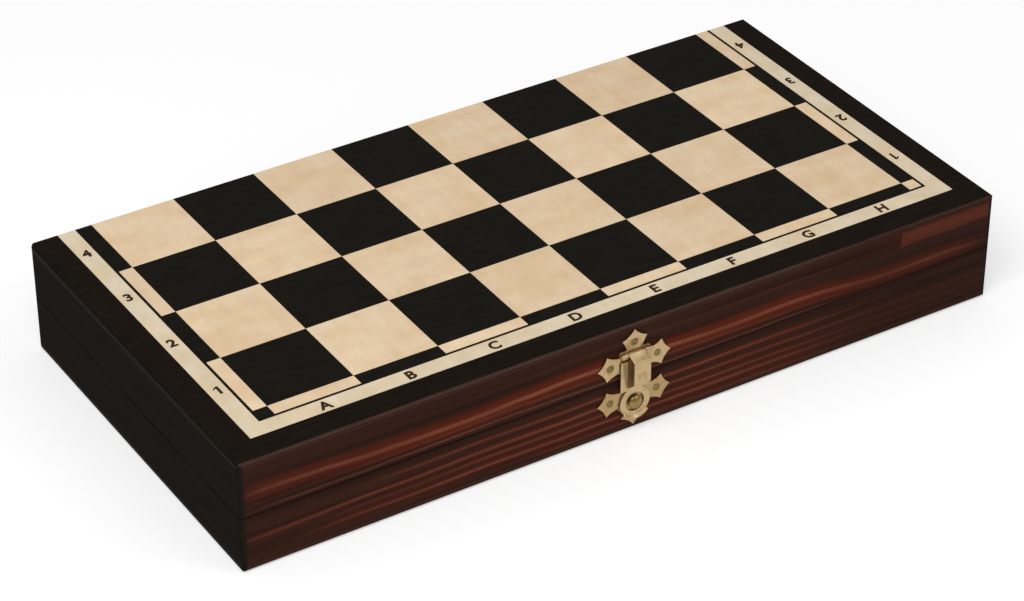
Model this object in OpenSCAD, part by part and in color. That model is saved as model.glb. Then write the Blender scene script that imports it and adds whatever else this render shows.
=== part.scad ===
// Folding chess box: two equal trays hinged along one long side, with half a chess board outside each.
// Millimetres. The origin is the centre of the underside, +Z is up and -Y is the front with the latch.

/* [Board pattern] */
// Side of one chess square
square_w = 37; // [33:0.5:42]
// Width of the dark band at the outer edge
band_w = 12; // [8:0.5:20]
// Width of the light strip that carries the coordinates
strip_w = 7.8; // [6:0.2:12]
// Width of the thin dark line inside the light strip
line_w = 1.2; // [0.8:0.1:2.5]
// Width of the narrow chequered border
border_w = 6; // [4:0.5:10]
// Thickness of the veneer
veneer_t = 0.6; // [0.4:0.1:1]
// Gap between neighbouring pieces of veneer
veneer_gap = 0.1; // [0.05:0.05:0.2]

/* [Trays] */
// Height of one tray
tray_h = 25; // [24:0.5:34]
// Thickness of the rails of the frame
rail_t = 9; // [8.5:0.5:12]
// Thickness of the plywood core of the board
core_t = 2.4; // [1.8:0.2:4]
// Bevel along the outer edges of the board
board_bevel = 1.2; // [0.3:0.1:1.6]
// Bevel along the edges where the trays meet
rim_bevel = 0.5; // [0.2:0.1:1]
// Radius of the upright corners
corner_r = 1.5; // [0.5:0.25:3]
// Thickness of the felt lining
felt_t = 1; // [0.5:0.25:2]
// Gap between the felt and the rails
felt_gap = 0.4; // [0.2:0.1:1]

/* [Hinges] */
// Length of one hinge
hinge_l = 30; // [24:1:40]
// Distance from the end of the box to the middle of a hinge
hinge_inset = 52; // [36:1:90]
// Reach of a leaf from the back face onto the rail
leaf_w = 7; // [6.5:0.25:7.5]
// Thickness of a leaf
leaf_t = 1; // [0.8:0.1:1.2]
// Gap between a leaf and the plane where the trays meet
leaf_gap = 0.1; // [0.05:0.05:0.2]
// Outer diameter of the knuckles
knuckle_d = 3.6; // [3.2:0.2:4]
// Gap between neighbouring knuckles along the pin
knuckle_gap = 0.2; // [0.1:0.05:0.4]
// Gap round the knuckles in the notch of the rail
notch_gap = 0.25; // [0.2:0.05:0.5]
// Distance of the hinge axis behind the back face
axis_back = 0.25; // [0.2:0.05:0.5]
// Diameter of the hinge pins
hinge_pin_d = 1.6; // [1.2:0.1:2]
// Distance between the two screws of a leaf
screw_pitch = 18; // [12:1:20]
// Diameter of a screw's head
screw_head_d = 3.2; // [2.8:0.1:3.6]
// Diameter of a screw's shank
screw_d = 1.8; // [1.6:0.1:2.2]
// Length of a screw
screw_l = 10; // [6:1:14]

/* [Latch plates] */
// Sideways place of the latch, measured from the middle of the front
latch_x = -2; // [-20:0.1:20]
// Thickness of the latch plates
plate_t = 0.8; // [0.6:0.1:1]
// Radius of the points of a star-shaped lobe
lobe_r = 6.1; // [5.6:0.1:6.3]
// Radius of the hollows between the points of a lobe
hollow_r = 4.3; // [3.6:0.1:4.4]
// Distance of the side lobes from the latch's middle line
lobe_x = 10.9; // [10.8:0.1:12.5]
// Height of the upper side lobes above the meeting plane
upper_lobe_z = 7.8; // [7.7:0.1:9.3]
// Height of the top lobe above the meeting plane
top_lobe_z = 16.5; // [15.8:0.1:17.2]
// Depth of the lower side lobes below the meeting plane
lower_lobe_z = 8.7; // [7.7:0.1:9.7]
// Depth of the bottom lobe below the meeting plane
bottom_lobe_z = 16.2; // [15.5:0.1:16.3]
// Diameter of a nail's head
nail_head_d = 2.2; // [1.8:0.1:2.6]
// Diameter of a nail's shank
nail_d = 1.2; // [1:0.1:1.4]
// Length of a nail
nail_l = 7; // [5:0.5:7.5]

/* [Hasp] */
// Width of the hasp across its flanges
hasp_w = 13.8; // [13:0.1:14]
// Thickness of the hasp's sheet metal
hasp_t = 0.8; // [0.6:0.1:1]
// Gap behind the hasp, in front of the plates
hasp_gap = 0.2; // [0.1:0.05:0.3]
// Width of the raised bridge
bridge_w = 7.8; // [7.4:0.1:8.8]
// Distance of the bridge's face in front of the box
bridge_out = 7; // [6:0.1:8]
// How far the bridge's top slopes down towards its face
bridge_drop = 2.2; // [0:0.1:2.6]
// Height of the bridge's lower edge above the meeting plane
bridge_foot_z = 0.9; // [0:0.1:1.3]
// Depth at which the ramp below the bridge reaches the eye
ramp_foot_z = 3.5; // [2.9:0.1:4.1]
// Height of the flanges above the meeting plane
flange_z = 9.3; // [7.8:0.1:9.9]
// Depth of the flanges' lower ends below the meeting plane
flange_foot_z = 4.7; // [4.3:0.1:5.5]
// Height of the hasp's axis above the meeting plane
hasp_axis_z = 12.3; // [11.9:0.1:12.5]
// Outer diameter of the ears that hold the pin
ear_d = 2.5; // [2.3:0.1:2.8]
// Diameter of the hasp's pin
hasp_pin_d = 1.2; // [1:0.1:1.3]
// Depth of the eye's centre below the meeting plane
eye_z = 10.9; // [10.3:0.1:11.3]
// Outer radius of the eye
eye_r = 7; // [6.2:0.1:7.2]
// Radius of the eye's hole
eye_hole_r = 4.2; // [3.8:0.1:4.4]
// Outward turn of the lifting lip
lip_w = 0.9; // [0.6:0.1:1.4]

/* [Knob] */
// Diameter of the knob's head
knob_d = 6.2; // [5:0.1:6.4]
// Diameter of the neck under the head
knob_neck_d = 3.4; // [2.8:0.1:3.8]
// Diameter of the rivet in the rail
knob_rivet_d = 2; // [1.6:0.1:2.4]
// Length of the rivet in the rail
knob_rivet_l = 6; // [4:0.5:7]
// Gap between the hasp's face and the underside of the knob's head
knob_gap = 0.2; // [0.1:0.05:0.5]
// Height of the head's dome
knob_dome = 1.4; // [1:0.1:1.8]

/* [Fits] */
// Radial play of the moving knuckles on their pins
pin_play = 0.05; // [0.02:0.01:0.08]
// Radial gap of a pin in the knuckles that hold it
pin_hold_gap = 0.02; // [0.01:0.01:0.03]
// Gap round screws, nails and rivets in their holes
fastener_gap = 0.05; // [0.02:0.01:0.1]
// Gap round a hinge leaf in its mortise
mortise_gap = 0.1; // [0.05:0.05:0.3]

/* [Hidden] */
$fn = 64;

// A whole board has eight files and eight ranks, so each tray carries four ranks.
files = 8;
ranks = 4;
margin_w = band_w + strip_w + line_w + border_w;
field_w = files * square_w;
box_w = field_w + 2 * margin_w;
box_d = ranks * square_w + margin_w;
front_y = -box_d / 2;
back_y = box_d / 2;
field_front_y = front_y + margin_w;
board_t = veneer_t + core_t;
cut = 1;

// Both hinges have three knuckles: the base leaf holds the outer two and the lid leaf the middle one.
hinge_x = box_w / 2 - hinge_inset;
swing_r = knuckle_d / 2 + notch_gap;
middle_knuckle = [-hinge_l / 6 + knuckle_gap / 2, hinge_l / 6 - knuckle_gap / 2];
outer_knuckles = [
    [-hinge_l / 2, -hinge_l / 6 - knuckle_gap / 2],
    [hinge_l / 6 + knuckle_gap / 2, hinge_l / 2]
];
pin_head_t = 0.5;
hinge_pin_head_d = hinge_pin_d + 1;
hasp_pin_head_d = hasp_pin_d + 0.6;
screw_y = -(axis_back + leaf_w + swing_r) / 2;
screw_head_h = (screw_head_d - screw_d) / 2;
screw_slot_w = 0.6;
screw_slot_t = 0.4;

// In the latch's own view X is to the right, Y is up from the meeting plane and Z stands out of the front.
ear_r = ear_d / 2;
hasp_axis_out = plate_t + ear_r;
hasp_knuckle_r = ear_r - hasp_gap;
hasp_back = plate_t + hasp_gap;
hasp_front = hasp_back + hasp_t;
roll_rise = 0.15;
bridge_top_z = hasp_axis_z + hasp_knuckle_r - roll_rise;
ramp_slope = (ramp_foot_z + bridge_foot_z) / (bridge_out - hasp_front);
ramp_wall = hasp_t * sqrt(1 + ramp_slope * ramp_slope);
flange_corner_r = 1.2;
plate_edge = 0.2;
knob_head_t = 0.4;
knob_head_z = hasp_front + knob_gap;
dimple_t = plate_t / 2;
dimple_rim = 1;
dimple_r = nail_head_d / 2 + dimple_rim;
nail_recess = 0.05;
nail_head_t = dimple_t - nail_recess;
catch_plate_above = 6.4;
catch_plate_below = 4.5;
catch_plate_corner = 2.2;
latch_plate_foot_z = 3.1;
latch_plate_corner = 0.8;
upper_nails = [[-lobe_x, upper_lobe_z], [0, top_lobe_z], [lobe_x, upper_lobe_z]];
lower_nails = [[-lobe_x, -lower_lobe_z], [lobe_x, -lower_lobe_z]];

// Moves a tray part into the lid, face up
module in_lid() {
    translate([0, 0, 2 * tray_h]) mirror([0, 0, 1]) children();
}

// Moves a part drawn in the latch's view onto the front of the box
module on_front() {
    translate([latch_x, front_y, tray_h]) rotate([90, 0, 0]) children();
}

// Moves a part drawn about the hinge axis to the left hinge (-1) or the right hinge (1)
module at_hinge(side) {
    translate([side * hinge_x, back_y + axis_back, tray_h]) children();
}

// Rounds off the four upright corners of a tray
module corner_waste() {
    for (sx = [-1, 1], sy = [-1, 1])
        translate([sx * (box_w / 2 - corner_r), sy * (box_d / 2 - corner_r), -cut])
            linear_extrude(tray_h + 2 * cut)
                difference() {
                    translate([sx * corner_r, sy * corner_r]) square(2 * corner_r, center = true);
                    circle(r = corner_r);
                }
}

// Outer form of one tray lying on its board, with the bevels of the board and of the rim
module tray_form() {
    side_view = [
        [front_y + board_bevel, 0], [back_y, 0], [back_y, tray_h - rim_bevel], [back_y - rim_bevel, tray_h],
        [front_y + rim_bevel, tray_h], [front_y, tray_h - rim_bevel], [front_y, board_bevel]
    ];
    end_x = box_w / 2;
    front_view = [
        [-end_x + board_bevel, 0], [end_x - board_bevel, 0], [end_x, board_bevel],
        [end_x, tray_h - rim_bevel], [end_x - rim_bevel, tray_h],
        [-end_x + rim_bevel, tray_h], [-end_x, tray_h - rim_bevel], [-end_x, board_bevel]
    ];
    difference() {
        intersection() {
            translate([-end_x, 0, 0]) rotate([90, 0, 90]) linear_extrude(box_w) polygon(side_view);
            translate([0, back_y, 0]) rotate([90, 0, 0]) linear_extrude(box_d) polygon(front_view);
        }
        corner_waste();
    }
}

// Rail along the front (side -1) or the back (side 1), mitred at both ends
module long_rail(side) {
    ox = box_w / 2;
    oy = side * box_d / 2;
    ix = ox - rail_t;
    iy = oy - side * rail_t;
    intersection() {
        tray_form();
        translate([0, 0, board_t])
            linear_extrude(tray_h - board_t) polygon([[-ox, oy], [ox, oy], [ix, iy], [-ix, iy]]);
    }
}

// Rail along the left (side -1) or the right (side 1), mitred at both ends
module end_rail(side) {
    ox = side * box_w / 2;
    oy = box_d / 2;
    ix = ox - side * rail_t;
    iy = oy - rail_t;
    intersection() {
        tray_form();
        translate([0, 0, board_t])
            linear_extrude(tray_h - board_t) polygon([[ox, -oy], [ix, -iy], [ix, iy], [ox, oy]]);
    }
}

// Places the two screws of a leaf, counted from the hinge axis
module at_screws() {
    for (sx = [-1, 1]) translate([sx * screw_pitch / 2, screw_y, -leaf_gap]) children();
}

// Mortise, barrel notch and pilot holes of one hinge
module hinge_recess() {
    notch_l = hinge_l + 2 * (pin_head_t + mortise_gap);
    leaf_seat = leaf_gap + leaf_t;
    translate([-hinge_l / 2 - mortise_gap, -axis_back - leaf_w - mortise_gap, -leaf_seat])
        cube([hinge_l + 2 * mortise_gap, leaf_w + mortise_gap + cut, leaf_seat + cut]);
    rotate([0, 90, 0]) cylinder(r = swing_r, h = notch_l, center = true);
    at_screws() translate([0, 0, -screw_l - cut / 2]) cylinder(d = screw_d + 2 * fastener_gap, h = screw_l);
}

module back_rail() {
    difference() {
        long_rail(1);
        for (side = [-1, 1]) at_hinge(side) hinge_recess();
    }
}

// Holes for the nails of one latch plate
module nail_holes(places) {
    on_front() for (p = places) translate([p[0], p[1], -nail_l - cut / 2])
        cylinder(d = nail_d + 2 * fastener_gap, h = nail_l + cut);
}

// Plywood core of the board
module board_panel() {
    intersection() {
        tray_form();
        translate([-box_w / 2, front_y, veneer_t]) cube([box_w, box_d, core_t]);
    }
}

// Files are counted from 0 at the left and ranks from 0 at the front; -1 and 8 are the narrow border.
function file_x(i) = i < 0 ? -field_w / 2 - border_w : -field_w / 2 + i * square_w;
function file_w(i) = i < 0 || i >= files ? border_w : square_w;
function rank_y(k) = k < 0 ? field_front_y - border_w : field_front_y + k * square_w;
function rank_w(k) = k < 0 ? border_w : square_w;
function is_border(i, k) = i < 0 || i >= files || k < 0;

module veneer_cell(i, k) {
    translate([file_x(i) + veneer_gap / 2, rank_y(k) + veneer_gap / 2, 0])
        cube([file_w(i) - veneer_gap, rank_w(k) - veneer_gap, veneer_t]);
}

// Every second square of the field, starting with parity 0 at the front left corner
module squares(parity) {
    for (i = [0:files - 1], k = [0:ranks - 1]) if ((i + k) % 2 == parity) veneer_cell(i, k);
}

// Every second cell of the narrow border, in step with the squares
module border_cells(parity) {
    for (i = [-1:files], k = [-1:ranks - 1])
        if (is_border(i, k) && (i + k + 2) % 2 == parity) veneer_cell(i, k);
}

// Strip of veneer round the front and the two ends, between two distances from the box's edge
module border_strip(from, to) {
    linear_extrude(veneer_t) difference() {
        translate([-box_w / 2 + from, front_y + from]) square([box_w - 2 * from, box_d - from]);
        translate([-box_w / 2 + to, front_y + to]) square([box_w - 2 * to, box_d]);
    }
}

module inlay_line() {
    border_strip(band_w + strip_w + veneer_gap / 2, band_w + strip_w + line_w - veneer_gap / 2);
}

module coordinate_strip() {
    border_strip(band_w + veneer_gap / 2, band_w + strip_w - veneer_gap / 2);
}

module outer_band() {
    intersection() {
        tray_form();
        border_strip(0, band_w - veneer_gap / 2);
    }
}

module felt() {
    felt_w = box_w - 2 * (rail_t + felt_gap);
    felt_d = box_d - 2 * (rail_t + felt_gap);
    translate([-felt_w / 2, -felt_d / 2, board_t]) cube([felt_w, felt_d, felt_t]);
}

// Leaf drawn about the hinge axis, lying below the meeting plane, with its own knuckles
module hinge_leaf(knuckles, bore_gap) {
    leaf_back = swing_r;
    difference() {
        union() {
            translate([-hinge_l / 2, -axis_back - leaf_w, -leaf_gap - leaf_t])
                cube([hinge_l, axis_back + leaf_w - leaf_back, leaf_t]);
            for (k = knuckles) {
                translate([k[0], -leaf_back - cut / 2, -leaf_gap - leaf_t])
                    cube([k[1] - k[0], leaf_back + cut / 2, leaf_t]);
                translate([k[0], 0, 0]) rotate([0, 90, 0]) cylinder(d = knuckle_d, h = k[1] - k[0]);
            }
        }
        rotate([0, 90, 0]) cylinder(d = hinge_pin_d + 2 * bore_gap, h = hinge_l + 2 * cut, center = true);
        at_screws() {
            translate([0, 0, -leaf_t - cut]) cylinder(d = screw_d + 2 * fastener_gap, h = leaf_t + 2 * cut);
            translate([0, 0, -screw_head_h])
                cylinder(
                    h = screw_head_h + fastener_gap,
                    r1 = screw_d / 2 + fastener_gap,
                    r2 = screw_head_d / 2 + 2 * fastener_gap
                );
        }
    }
}

// Straight pin along X with a riveted head at each end
module headed_pin(d, l, head_d) {
    rotate([0, 90, 0]) {
        cylinder(d = d, h = l + pin_head_t, center = true);
        for (s = [-1, 1])
            translate([0, 0, s * (l + pin_head_t) / 2])
                cylinder(d = head_d, h = pin_head_t, center = true);
    }
}

// Countersunk wood screw with its head at the top, pointing down
module wood_screw() {
    tip_l = 2;
    outline = [
        [0, 0], [screw_head_d / 2, 0], [screw_d / 2, -screw_head_h],
        [screw_d / 2, tip_l - screw_l], [0, -screw_l]
    ];
    difference() {
        rotate_extrude() polygon(outline);
        translate([-screw_head_d, -screw_slot_w / 2, -screw_slot_t])
            cube([2 * screw_head_d, screw_slot_w, cut]);
    }
}

module leaf_screws() {
    for (side = [-1, 1]) at_hinge(side) at_screws() wood_screw();
}

// Flat dome of a given base radius and height
module dome(r, h) {
    ball_r = (r * r + h * h) / (2 * h);
    intersection() {
        translate([0, 0, h - ball_r]) sphere(r = ball_r);
        cylinder(r = 2 * r, h = 2 * h);
    }
}

// Star with five points and curved hollows, one point along +X
module lobe() {
    side_mid = lobe_r * cos(36);
    side_half = lobe_r * sin(36);
    bite = side_mid - hollow_r;
    arc_r = (side_half * side_half + bite * bite) / (2 * bite);
    difference() {
        polygon([for (a = [0:72:288]) lobe_r * [cos(a), sin(a)]]);
        for (a = [36:72:324]) rotate(a) translate([hollow_r + arc_r, 0]) circle(r = arc_r, $fn = 96);
    }
}

// Outline of a plate's middle between two heights, with its corners cut off
module plate_middle(low, high, corner) {
    x = hasp_w / 2 + plate_edge;
    polygon([
        [-x, low + corner], [-x + corner, low], [x - corner, low], [x, low + corner],
        [x, high - corner], [x - corner, high], [-x + corner, high], [-x, high - corner]
    ]);
}

// Dimple and hole for a nail in a latch plate
module nail_seat() {
    translate([0, 0, -cut]) cylinder(d = nail_d + 2 * fastener_gap, h = plate_t + 2 * cut);
    translate([0, 0, plate_t - dimple_t])
        cylinder(r1 = nail_head_d / 2 + fastener_gap, r2 = dimple_r, h = dimple_t);
    translate([0, 0, plate_t]) cylinder(r = dimple_r, h = cut);
}

// Round-headed nail standing on the floor of its dimple
module nail() {
    tip_l = 1.5;
    shank_l = nail_l + plate_t - dimple_t;
    rotate_extrude() polygon([[0, 0], [nail_d / 2, 0], [nail_d / 2, tip_l - shank_l], [0, -shank_l]]);
    dome(nail_head_d / 2, nail_head_t);
}

module nails(places) {
    on_front() for (p = places) translate([p[0], p[1], plate_t - dimple_t]) nail();
}

// Ear of the upper plate, curled round the hasp's pin
module ear(side) {
    inner_x = bridge_w / 2 + hasp_gap;
    ear_w = hasp_w / 2 - inner_x;
    translate([side * (inner_x + ear_w / 2), hasp_axis_z, 0]) {
        translate([0, 0, hasp_axis_out]) rotate([0, 90, 0]) cylinder(r = ear_r, h = ear_w, center = true);
        translate([-ear_w / 2, -ear_r, plate_t / 2]) cube([ear_w, ear_r, hasp_axis_out - plate_t / 2]);
    }
}

// Flat of the hasp: two flanges that run into the round eye
module hasp_outline() {
    x = hasp_w / 2;
    difference() {
        union() {
            translate([0, -eye_z]) circle(r = eye_r);
            translate([-x, -flange_foot_z]) square([hasp_w, flange_foot_z + flange_z - flange_corner_r]);
            translate([-x + flange_corner_r, 0]) square([hasp_w - 2 * flange_corner_r, flange_z]);
            for (side = [-1, 1])
                translate([side * (x - flange_corner_r), flange_z - flange_corner_r])
                    circle(r = flange_corner_r);
        }
        translate([-bridge_w / 2 + hasp_t, -ramp_foot_z + ramp_wall])
            square([bridge_w - 2 * hasp_t, ramp_foot_z + flange_z]);
        translate([0, -eye_z]) circle(r = eye_hole_r);
    }
}

// Extrudes an outline drawn as [distance out, height] to a width centred on X
module across(w) {
    rotate([0, -90, 0]) translate([0, 0, -w / 2]) linear_extrude(w) children();
}

// Raised bridge of the hasp: sloping top, face, two sides and the ramp down to the eye, open at the back
module bridge() {
    inner_out = bridge_out - hasp_t;
    face_top_z = bridge_top_z - bridge_drop;
    top_slope = bridge_drop / (bridge_out - hasp_axis_out);
    top_wall = hasp_t * sqrt(1 + top_slope * top_slope);
    outer = [
        [hasp_axis_out, bridge_top_z], [bridge_out, face_top_z], [bridge_out, bridge_foot_z],
        [hasp_front, -ramp_foot_z], [hasp_back, -ramp_foot_z], [hasp_back, hasp_axis_z - ear_r / 2]
    ];
    inner = [
        [inner_out, face_top_z + hasp_t * top_slope - top_wall],
        [0, bridge_top_z + hasp_axis_out * top_slope - top_wall],
        [0, bridge_foot_z - bridge_out * ramp_slope + ramp_wall],
        [inner_out, bridge_foot_z - hasp_t * ramp_slope + ramp_wall]
    ];
    difference() {
        across(bridge_w) polygon(outer);
        across(bridge_w - 2 * hasp_t) polygon(inner);
    }
}

// Lip round the bottom of the eye, turned outward so that a finger can lift it
module lifting_lip() {
    lip_angle = 100;
    wall = hasp_t * sqrt(0.5);
    reach = lip_w + hasp_t / 2;
    root = [eye_r - hasp_t / 2, hasp_back + hasp_t / 8];
    tip = root + [reach, reach];
    outline = [root, tip, tip + [-wall, wall], root + [-wall, wall]];
    translate([0, -eye_z, 0]) rotate(270 - lip_angle / 2)
        rotate_extrude(angle = lip_angle) polygon(outline);
}

// Bore along the hasp's axis
module hasp_bore(gap) {
    translate([0, hasp_axis_z, hasp_axis_out]) rotate([0, 90, 0])
        cylinder(d = hasp_pin_d + 2 * gap, h = 2 * hasp_w, center = true);
}

module base_front_rail() {
    color("#3a1a14") difference() {
        long_rail(-1);
        nail_holes(lower_nails);
        on_front() translate([0, -eye_z, -knob_rivet_l - cut / 2])
            cylinder(d = knob_rivet_d + 2 * fastener_gap, h = knob_rivet_l + cut);
    }
}

module base_back_rail() {
    color("#3a1a14") back_rail();
}

module base_left_rail() {
    color("#1d1918") end_rail(-1);
}

module base_right_rail() {
    color("#1d1918") end_rail(1);
}

module base_board_panel() {
    color("#2a1712") board_panel();
}

module base_light_squares() {
    color("#dcc9a6") squares(0);
}

module base_dark_squares() {
    color("#1e1814") squares(1);
}

module base_light_border_cells() {
    color("#dcc9a6") border_cells(0);
}

module base_dark_border_cells() {
    color("#1e1814") border_cells(1);
}

module base_inlay_line() {
    color("#4a3018") inlay_line();
}

module base_coordinate_strip() {
    color("#e0cda8") coordinate_strip();
}

module base_outer_band() {
    color("#1d1918") outer_band();
}

module base_felt() {
    color("#2f4a32") felt();
}

module hinge_left_base_leaf() {
    color("#b3924d") at_hinge(-1) hinge_leaf(outer_knuckles, pin_hold_gap);
}

module hinge_right_base_leaf() {
    color("#b3924d") at_hinge(1) hinge_leaf(outer_knuckles, pin_hold_gap);
}

module hinge_pins() {
    color("#a08040") for (side = [-1, 1]) at_hinge(side) headed_pin(hinge_pin_d, hinge_l, hinge_pin_head_d);
}

module hinge_screws_base() {
    color("#a08040") leaf_screws();
}

module catch_plate() {
    middle_low = -eye_z - catch_plate_below;
    middle_high = -eye_z + catch_plate_above;
    color("#c2ac72") on_front() difference() {
        linear_extrude(plate_t) {
            translate([lobe_x, -lower_lobe_z]) lobe();
            translate([-lobe_x, -lower_lobe_z]) rotate(180) lobe();
            translate([0, -bottom_lobe_z]) rotate(270) lobe();
            plate_middle(middle_low, middle_high, catch_plate_corner);
        }
        for (p = lower_nails) translate(p) nail_seat();
        translate([0, -eye_z, -cut]) cylinder(d = knob_rivet_d + 2 * fastener_gap, h = plate_t + 2 * cut);
    }
}

module catch_knob() {
    color("#c9b273") on_front() translate([0, -eye_z, 0]) {
        translate([0, 0, -knob_rivet_l]) cylinder(d = knob_rivet_d, h = knob_rivet_l + plate_t + cut);
        translate([0, 0, plate_t]) cylinder(d = knob_neck_d, h = knob_head_z - plate_t + knob_head_t);
        translate([0, 0, knob_head_z]) cylinder(d = knob_d, h = knob_head_t);
        translate([0, 0, knob_head_z + knob_head_t]) dome(knob_d / 2, knob_dome);
    }
}

module catch_nails() {
    color("#a08040") nails(lower_nails);
}

module lid_front_rail() {
    color("#3a1a14") difference() {
        in_lid() long_rail(-1);
        nail_holes(upper_nails);
    }
}

module lid_back_rail() {
    color("#3a1a14") in_lid() back_rail();
}

module lid_left_rail() {
    color("#1d1918") in_lid() end_rail(-1);
}

module lid_right_rail() {
    color("#1d1918") in_lid() end_rail(1);
}

module lid_board_panel() {
    color("#2a1712") in_lid() board_panel();
}

module lid_light_squares() {
    color("#dcc9a6") in_lid() squares(1);
}

module lid_dark_squares() {
    color("#1e1814") in_lid() squares(0);
}

module lid_light_border_cells() {
    color("#dcc9a6") in_lid() border_cells(1);
}

module lid_dark_border_cells() {
    color("#1e1814") in_lid() border_cells(0);
}

module lid_inlay_line() {
    color("#4a3018") in_lid() inlay_line();
}

module lid_coordinate_strip() {
    color("#e0cda8") in_lid() coordinate_strip();
}

module lid_outer_band() {
    color("#1d1918") in_lid() outer_band();
}

module lid_felt() {
    color("#2f4a32") in_lid() felt();
}

module hinge_left_lid_leaf() {
    color("#b3924d") in_lid() at_hinge(-1) hinge_leaf([middle_knuckle], pin_play);
}

module hinge_right_lid_leaf() {
    color("#b3924d") in_lid() at_hinge(1) hinge_leaf([middle_knuckle], pin_play);
}

module hinge_screws_lid() {
    color("#a08040") in_lid() leaf_screws();
}

module latch_plate() {
    middle_high = hasp_axis_z + ear_r + plate_edge;
    color("#c2ac72") on_front() difference() {
        union() {
            linear_extrude(plate_t) {
                translate([lobe_x, upper_lobe_z]) lobe();
                translate([-lobe_x, upper_lobe_z]) rotate(180) lobe();
                translate([0, top_lobe_z]) rotate(90) lobe();
                plate_middle(latch_plate_foot_z, middle_high, latch_plate_corner);
            }
            for (side = [-1, 1]) ear(side);
        }
        for (p = upper_nails) translate(p) nail_seat();
        hasp_bore(pin_hold_gap);
    }
}

module latch_nails() {
    color("#a08040") nails(upper_nails);
}

module hasp_pin() {
    color("#a08040") on_front() translate([0, hasp_axis_z, hasp_axis_out])
        headed_pin(hasp_pin_d, hasp_w, hasp_pin_head_d);
}

module hasp() {
    color("#cdb87c") on_front() difference() {
        union() {
            translate([0, 0, hasp_back]) linear_extrude(hasp_t) hasp_outline();
            bridge();
            translate([0, hasp_axis_z, hasp_axis_out]) rotate([0, 90, 0])
                cylinder(r = hasp_knuckle_r, h = bridge_w, center = true);
            lifting_lip();
        }
        hasp_bore(pin_play);
    }
}

base_front_rail();
base_back_rail();
base_left_rail();
base_right_rail();
base_board_panel();
base_light_squares();
base_dark_squares();
base_light_border_cells();
base_dark_border_cells();
base_inlay_line();
base_coordinate_strip();
base_outer_band();
base_felt();
hinge_left_base_leaf();
hinge_right_base_leaf();
hinge_pins();
hinge_screws_base();
catch_plate();
catch_knob();
catch_nails();
lid_front_rail();
lid_back_rail();
lid_left_rail();
lid_right_rail();
lid_board_panel();
lid_light_squares();
lid_dark_squares();
lid_light_border_cells();
lid_dark_border_cells();
lid_inlay_line();
lid_coordinate_strip();
lid_outer_band();
lid_felt();
hinge_left_lid_leaf();
hinge_right_lid_leaf();
hinge_screws_lid();
latch_plate();
latch_nails();
hasp_pin();
hasp();
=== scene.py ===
import math

import bpy
from mathutils import Matrix, Vector, noise


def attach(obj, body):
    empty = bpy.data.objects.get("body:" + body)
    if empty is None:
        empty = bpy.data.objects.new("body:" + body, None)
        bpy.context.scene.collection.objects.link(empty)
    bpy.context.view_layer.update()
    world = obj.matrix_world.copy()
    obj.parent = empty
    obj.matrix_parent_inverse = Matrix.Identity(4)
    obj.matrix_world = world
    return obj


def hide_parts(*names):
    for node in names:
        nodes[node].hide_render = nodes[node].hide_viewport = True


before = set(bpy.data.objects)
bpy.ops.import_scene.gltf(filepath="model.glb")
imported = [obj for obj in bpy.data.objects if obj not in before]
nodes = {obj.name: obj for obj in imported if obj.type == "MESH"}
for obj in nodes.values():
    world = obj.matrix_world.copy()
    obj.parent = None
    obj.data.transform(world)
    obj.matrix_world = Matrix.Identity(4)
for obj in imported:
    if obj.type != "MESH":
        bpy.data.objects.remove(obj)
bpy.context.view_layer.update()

mm = 0.001
frontFace = -87.5           # mm, the front of the rails
halfLength = 175            # mm
square = 37                 # mm, the side of a chess square
noiseSpan = (0.3, 0.7)      # nearly all of Blender's noise lies between these levels


def clearSelection():
    if bpy.context.object and bpy.context.object.mode != "OBJECT":
        bpy.ops.object.mode_set(mode="OBJECT")
    bpy.ops.object.select_all(action="DESELECT")


def pick(piece):
    clearSelection()
    piece.select_set(True)
    bpy.context.view_layer.objects.active = piece


# camera at the photograph's angle
cameraSettings = {
    "place": (-0.59867, -0.95036, 0.76015),
    "looking": (0.44185, 0.70461, -0.55524),
    "lens": 115.6,
    "sensor": 36,
    "nearest": 0.05,
}
bpy.ops.object.camera_add(location=cameraSettings["place"])
camera = bpy.context.object
camera.name = "camera"
camera.rotation_euler = Vector(cameraSettings["looking"]).to_track_quat("-Z", "Y").to_euler()
camera.data.lens = cameraSettings["lens"]
camera.data.sensor_width = cameraSettings["sensor"]
camera.data.clip_start = cameraSettings["nearest"]
bpy.context.scene.camera = camera
bpy.context.scene.view_settings.view_transform = "Standard"
print("camera placed")


# materials

def linear(hexColour):
    parts = [int(hexColour[i:i + 2], 16) / 255 for i in (1, 3, 5)]
    return [c / 12.92 if c <= 0.04045 else ((c + 0.055) / 1.055) ** 2.4 for c in parts] + [1]


def addNode(tree, kind, settings=None, links=None):
    # a settings key is a property of the node, or else the name or number of an input
    node = tree.nodes.new("ShaderNode" + kind)
    for key, value in (settings or {}).items():
        if isinstance(key, str) and key in node.bl_rna.properties:
            setattr(node, key, value)
        else:
            node.inputs[key].default_value = value
    for key, socket in (links or {}).items():
        tree.links.new(socket, node.inputs[key])
    return node


def addFilled(tree, kind, settings, values):
    # the first inputs of a node are filled in order; a value is a number, a hex colour or a socket
    settings, links = dict(settings), {}
    for i, value in enumerate(values):
        if isinstance(value, str):
            settings[i] = linear(value)
        elif isinstance(value, (int, float)):
            settings[i] = value
        else:
            links[i] = value
    return addNode(tree, kind, settings, links).outputs[0]


def calculate(tree, operation, *values):
    return addFilled(tree, "Math", {"operation": operation}, values)


def combine(tree, operation, values):
    total = values[0]
    for value in values[1:]:
        total = calculate(tree, operation, total, value)
    return total


def mixColours(tree, share, under, over, blend="MIX"):
    return addFilled(tree, "MixRGB", {"blend_type": blend}, (share, under, over))


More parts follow.
